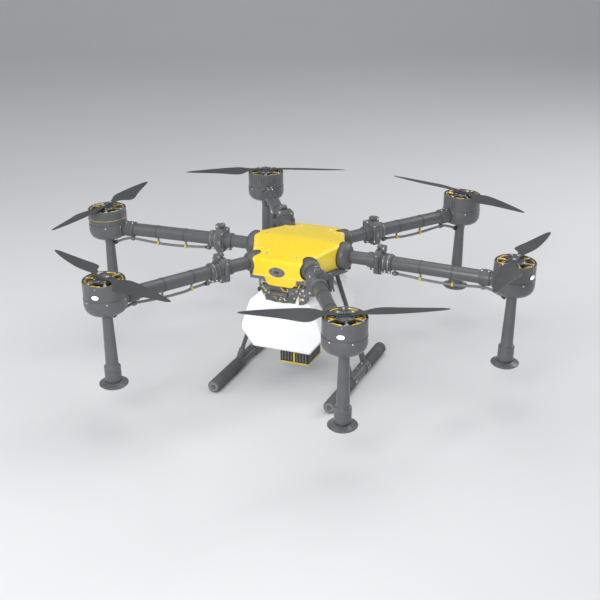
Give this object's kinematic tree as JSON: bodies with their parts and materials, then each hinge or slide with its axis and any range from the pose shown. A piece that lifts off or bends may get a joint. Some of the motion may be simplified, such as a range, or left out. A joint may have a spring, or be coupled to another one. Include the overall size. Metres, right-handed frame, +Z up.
{
  "type": "agricultural spray drone",
  "caption": "Multi-rotor crop spraying drone with folding arms, folding-blade rotors, rotary spray nozzles under the motors, a slung tank and skid landing gear.",
  "frame": {"origin": "on the ground plane under the hub axis", "axes": "+Z up; -Y is the front, the way the aircraft flies; +X is to the right of a viewer who faces its front"},
  "size_m": [1.7882, 1.6243, 0.5945],
  "materials": {
    "dark_moulding": "satin, fine moulded grain",
    "black_plastic": "satin",
    "yellow_shell": "gloss paint",
    "white_tank": "blow-moulded, slightly translucent",
    "battery_case": "satin",
    "carbon_tube": "satin clear coat over carbon weave",
    "skid_foam": "closed-cell foam sleeve",
    "pod_shell": "satin",
    "hose": "soft",
    "motor_metal": "anodised, machined",
    "blade": "carbon-filled nylon",
    "disc_plastic": "satin"
  },
  "bodies": {
    "fuselage": {"centre_frame": "dark_moulding", "flight_controller": "black_plastic", "canopy": "yellow_shell", "tank": "white_tank", "spray_pump": "black_plastic", "leg_frame_left": "carbon_tube", "leg_frame_right": "carbon_tube", "skid_left": "skid_foam", "skid_right": "skid_foam", "arm_socket_right": "dark_moulding", "arm_socket_rear_right": "dark_moulding", "arm_socket_rear_left": "dark_moulding", "arm_socket_left": "dark_moulding", "arm_socket_front_left": "dark_moulding", "arm_socket_front_right": "dark_moulding"},
    "arm_right": {"arm_tube_right": "carbon_tube", "motor_pod_right": "pod_shell", "feed_hose_right": "hose"},
    "rotor_right": {"rotor_right": "motor_metal"},
    "blade_1_right": {"blade_1_right": "blade"},
    "blade_2_right": {"blade_2_right": "blade"},
    "spray_disc_right": {"spray_disc_right": "disc_plastic"},
    "arm_rear_right": {"arm_tube_rear_right": "carbon_tube", "motor_pod_rear_right": "pod_shell", "feed_hose_rear_right": "hose"},
    "rotor_rear_right": {"rotor_rear_right": "motor_metal"},
    "blade_1_rear_right": {"blade_1_rear_right": "blade"},
    "blade_2_rear_right": {"blade_2_rear_right": "blade"},
    "spray_disc_rear_right": {"spray_disc_rear_right": "disc_plastic"},
    "arm_rear_left": {"arm_tube_rear_left": "carbon_tube", "motor_pod_rear_left": "pod_shell", "feed_hose_rear_left": "hose"},
    "rotor_rear_left": {"rotor_rear_left": "motor_metal"},
    "blade_1_rear_left": {"blade_1_rear_left": "blade"},
    "blade_2_rear_left": {"blade_2_rear_left": "blade"},
    "spray_disc_rear_left": {"spray_disc_rear_left": "disc_plastic"},
    "arm_left": {"arm_tube_left": "carbon_tube", "motor_pod_left": "pod_shell", "feed_hose_left": "hose"},
    "rotor_left": {"rotor_left": "motor_metal"},
    "blade_1_left": {"blade_1_left": "blade"},
    "blade_2_left": {"blade_2_left": "blade"},
    "spray_disc_left": {"spray_disc_left": "disc_plastic"},
    "arm_front_left": {"arm_tube_front_left": "carbon_tube", "motor_pod_front_left": "pod_shell", "feed_hose_front_left": "hose"},
    "rotor_front_left": {"rotor_front_left": "motor_metal"},
    "blade_1_front_left": {"blade_1_front_left": "blade"},
    "blade_2_front_left": {"blade_2_front_left": "blade"},
    "spray_disc_front_left": {"spray_disc_front_left": "disc_plastic"},
    "arm_front_right": {"arm_tube_front_right": "carbon_tube", "motor_pod_front_right": "pod_shell", "feed_hose_front_right": "hose"},
    "rotor_front_right": {"rotor_front_right": "motor_metal"},
    "blade_1_front_right": {"blade_1_front_right": "blade"},
    "blade_2_front_right": {"blade_2_front_right": "blade"},
    "spray_disc_front_right": {"spray_disc_front_right": "disc_plastic"},
    "tank_cap": {"tank_cap": "black_plastic"},
    "battery": {"battery": "battery_case"}
  },
  "joints": [
    {"name": "fold_right", "type": "hinge", "parent": "fuselage", "child": "arm_right", "pos_m": [0.318, -0.045, 0.506], "axis": [0, 0, 1], "range_deg": [-76, 0]},
    {"name": "rotor_spin_right", "type": "hinge", "parent": "arm_right", "child": "rotor_right", "pos_m": [0.81868, 0, 0.58351], "axis": [0.0419, 0, 0.9991], "continuous": true},
    {"name": "blade_1_fold_right", "type": "hinge", "parent": "rotor_right", "child": "blade_1_right", "pos_m": [0.82023, 0.02395, 0.58345], "axis": [0.0419, 0, 0.9991], "range_deg": [-90, 90]},
    {"name": "blade_2_fold_right", "type": "hinge", "parent": "rotor_right", "child": "blade_2_right", "pos_m": [0.81714, -0.02395, 0.58358], "axis": [0.0419, 0, 0.9991], "range_deg": [-90, 90]},
    {"name": "spray_disc_spin_right", "type": "hinge", "parent": "arm_right", "child": "spray_disc_right", "pos_m": [0.80185, 0, 0.18186], "axis": [0.0419, 0, 0.9991], "continuous": true},
    {"name": "fold_rear_right", "type": "hinge", "parent": "fuselage", "child": "arm_rear_right", "pos_m": [0.14787, 0.32041, 0.506], "axis": [0, 0, 1], "range_deg": [0, 78]},
    {"name": "rotor_spin_rear_right", "type": "hinge", "parent": "arm_rear_right", "child": "rotor_rear_right", "pos_m": [0.43505, 0.69353, 0.58418], "axis": [0.0223, 0.0355, 0.9991], "continuous": true},
    {"name": "blade_1_fold_rear_right", "type": "hinge", "parent": "rotor_rear_right", "child": "blade_1_rear_right", "pos_m": [0.45706, 0.68395, 0.58403], "axis": [-0.0223, -0.0355, -0.9991], "range_deg": [-90, 90]},
    {"name": "blade_2_fold_rear_right", "type": "hinge", "parent": "rotor_rear_right", "child": "blade_2_rear_right", "pos_m": [0.41304, 0.7031, 0.58433], "axis": [-0.0223, -0.0355, -0.9991], "range_deg": [-90, 90]},
    {"name": "spray_disc_spin_rear_right", "type": "hinge", "parent": "arm_rear_right", "child": "spray_disc_rear_right", "pos_m": [0.4261, 0.67927, 0.18254], "axis": [0.0223, 0.0355, 0.9991], "continuous": true},
    {"name": "fold_rear_left", "type": "hinge", "parent": "fuselage", "child": "arm_rear_left", "pos_m": [-0.22411, 0.27258, 0.506], "axis": [0, 0, 1], "range_deg": [0, 78]},
    {"name": "rotor_spin_rear_left", "type": "hinge", "parent": "arm_rear_left", "child": "rotor_rear_left", "pos_m": [-0.43505, 0.69353, 0.58418], "axis": [-0.0223, 0.0355, 0.9991], "continuous": true},
    {"name": "blade_1_fold_rear_left", "type": "hinge", "parent": "rotor_rear_left", "child": "blade_1_rear_left", "pos_m": [-0.41304, 0.7031, 0.58433], "axis": [-0.0223, 0.0355, 0.9991], "range_deg": [-90, 90]},
    {"name": "blade_2_fold_rear_left", "type": "hinge", "parent": "rotor_rear_left", "child": "blade_2_rear_left", "pos_m": [-0.45706, 0.68395, 0.58403], "axis": [-0.0223, 0.0355, 0.9991], "range_deg": [-90, 90]},
    {"name": "spray_disc_spin_rear_left", "type": "hinge", "parent": "arm_rear_left", "child": "spray_disc_rear_left", "pos_m": [-0.4261, 0.67927, 0.18254], "axis": [-0.0223, 0.0355, 0.9991], "continuous": true},
    {"name": "fold_left", "type": "hinge", "parent": "fuselage", "child": "arm_left", "pos_m": [-0.318, 0.045, 0.506], "axis": [0, 0, 1], "range_deg": [-76, 0]},
    {"name": "rotor_spin_left", "type": "hinge", "parent": "arm_left", "child": "rotor_left", "pos_m": [-0.81868, 0, 0.58351], "axis": [-0.0419, 0, 0.9991], "continuous": true},
    {"name": "blade_1_fold_left", "type": "hinge", "parent": "rotor_left", "child": "blade_1_left", "pos_m": [-0.81741, 0.02397, 0.58357], "axis": [0.0419, 0, -0.9991], "range_deg": [-90, 90]},
    {"name": "blade_2_fold_left", "type": "hinge", "parent": "rotor_left", "child": "blade_2_left", "pos_m": [-0.81996, -0.02397, 0.58346], "axis": [0.0419, 0, -0.9991], "range_deg": [-90, 90]},
    {"name": "spray_disc_spin_left", "type": "hinge", "parent": "arm_left", "child": "spray_disc_left", "pos_m": [-0.80185, 0, 0.18186], "axis": [-0.0419, 0, 0.9991], "continuous": true},
    {"name": "fold_front_left", "type": "hinge", "parent": "fuselage", "child": "arm_front_left", "pos_m": [-0.14787, -0.32041, 0.506], "axis": [0, 0, 1], "range_deg": [0, 78]},
    {"name": "rotor_spin_front_left", "type": "hinge", "parent": "arm_front_left", "child": "rotor_front_left", "pos_m": [-0.43505, -0.69353, 0.58418], "axis": [-0.0223, -0.0355, 0.9991], "continuous": true},
    {"name": "blade_1_fold_front_left", "type": "hinge", "parent": "rotor_front_left", "child": "blade_1_front_left", "pos_m": [-0.41339, -0.70386, 0.5843], "axis": [0.0223, 0.0355, -0.9991], "range_deg": [-90, 90]},
    {"name": "blade_2_fold_front_left", "type": "hinge", "parent": "rotor_front_left", "child": "blade_2_front_left", "pos_m": [-0.45671, -0.68319, 0.58407], "axis": [0.0223, 0.0355, -0.9991], "range_deg": [-90, 90]},
    {"name": "spray_disc_spin_front_left", "type": "hinge", "parent": "arm_front_left", "child": "spray_disc_front_left", "pos_m": [-0.4261, -0.67927, 0.18254], "axis": [-0.0223, -0.0355, 0.9991], "continuous": true},
    {"name": "fold_front_right", "type": "hinge", "parent": "fuselage", "child": "arm_front_right", "pos_m": [0.22411, -0.27258, 0.506], "axis": [0, 0, 1], "range_deg": [0, 78]},
    {"name": "rotor_spin_front_right", "type": "hinge", "parent": "arm_front_right", "child": "rotor_front_right", "pos_m": [0.43505, -0.69353, 0.58418], "axis": [0.0223, -0.0355, 0.9991], "continuous": true},
    {"name": "blade_1_fold_front_right", "type": "hinge", "parent": "rotor_front_right", "child": "blade_1_front_right", "pos_m": [0.45679, -0.68336, 0.58406], "axis": [0.0223, -0.0355, 0.9991], "range_deg": [-90, 90]},
    {"name": "blade_2_fold_front_right", "type": "hinge", "parent": "rotor_front_right", "child": "blade_2_front_right", "pos_m": [0.41331, -0.70369, 0.58431], "axis": [0.0223, -0.0355, 0.9991], "range_deg": [-90, 90]},
    {"name": "spray_disc_spin_front_right", "type": "hinge", "parent": "arm_front_right", "child": "spray_disc_front_right", "pos_m": [0.4261, -0.67927, 0.18254], "axis": [0.0223, -0.0355, 0.9991], "continuous": true},
    {"name": "tank_cap_turn", "type": "hinge", "parent": "fuselage", "child": "tank_cap", "pos_m": [0, 0.212, 0.356], "axis": [0, 0.866, 0.5], "range_deg": [0, 360]},
    {"name": "battery_slide", "type": "slide", "parent": "fuselage", "child": "battery", "axis": [0, -1, 0], "range_m": [0, 0.2]}
  ]
}
